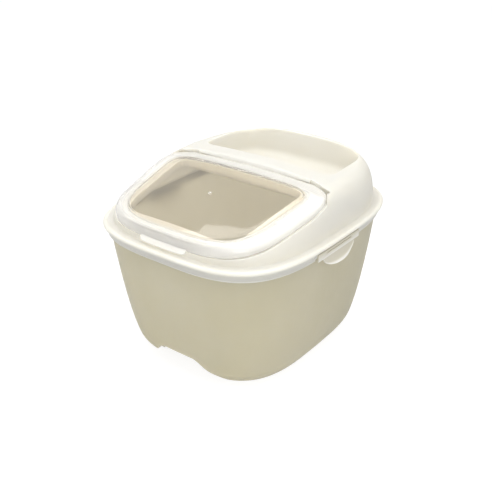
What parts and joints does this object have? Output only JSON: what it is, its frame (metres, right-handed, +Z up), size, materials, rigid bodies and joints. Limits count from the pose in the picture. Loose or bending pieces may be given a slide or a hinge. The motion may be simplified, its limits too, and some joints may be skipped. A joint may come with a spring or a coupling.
{
  "type": "hooded cat litter box",
  "caption": "Deep rounded tub with a lift-off hood, an open tray moulded into the hood's rear, a clear flip-up flap over the top opening and a hinged latch on each side.",
  "frame": {"origin": "on the floor under the middle of the tub, the bottom centre of the bounding box", "axes": "+Z up, front towards -Y (lift tab and hand recess), +Y towards the tray at the rear, +X to the right seen from the front"},
  "size_m": [0.408, 0.467, 0.329],
  "materials": {
    "tub": "satin moulded polypropylene, warm ivory",
    "hood": "satin moulded polypropylene, light ivory",
    "flap": "clear moulded styrene, polished",
    "flap_pin": "plain moulded plastic rod",
    "latch": "satin moulded polypropylene, ivory",
    "latch_pin": "plain moulded plastic rod"
  },
  "bodies": {
    "tub": {"tub": "tub"},
    "hood": {"hood": "hood", "flap_pin_right": "flap_pin", "flap_pin_left": "flap_pin", "latch_pin_right": "latch_pin", "latch_pin_left": "latch_pin"},
    "flap": {"flap": "flap"},
    "latch_right": {"latch_right": "latch"},
    "latch_left": {"latch_left": "latch"}
  },
  "joints": [
    {"name": "hood_lift", "type": "slide", "parent": "tub", "child": "hood", "axis": [0, 0, 1], "range_m": [0, 0.15]},
    {"name": "flap_hinge", "type": "hinge", "parent": "hood", "child": "flap", "pos_m": [0, 0, 0.3115], "axis": [-1, 0, 0], "range_deg": [0, 95]},
    {"name": "latch_right_hinge", "type": "hinge", "parent": "hood", "child": "latch_right", "pos_m": [0.1932, 0, 0.2406], "axis": [0, -1, 0], "range_deg": [0, 85]},
    {"name": "latch_left_hinge", "type": "hinge", "parent": "hood", "child": "latch_left", "pos_m": [-0.1932, 0, 0.2406], "axis": [0, 1, 0], "range_deg": [0, 85]}
  ]
}
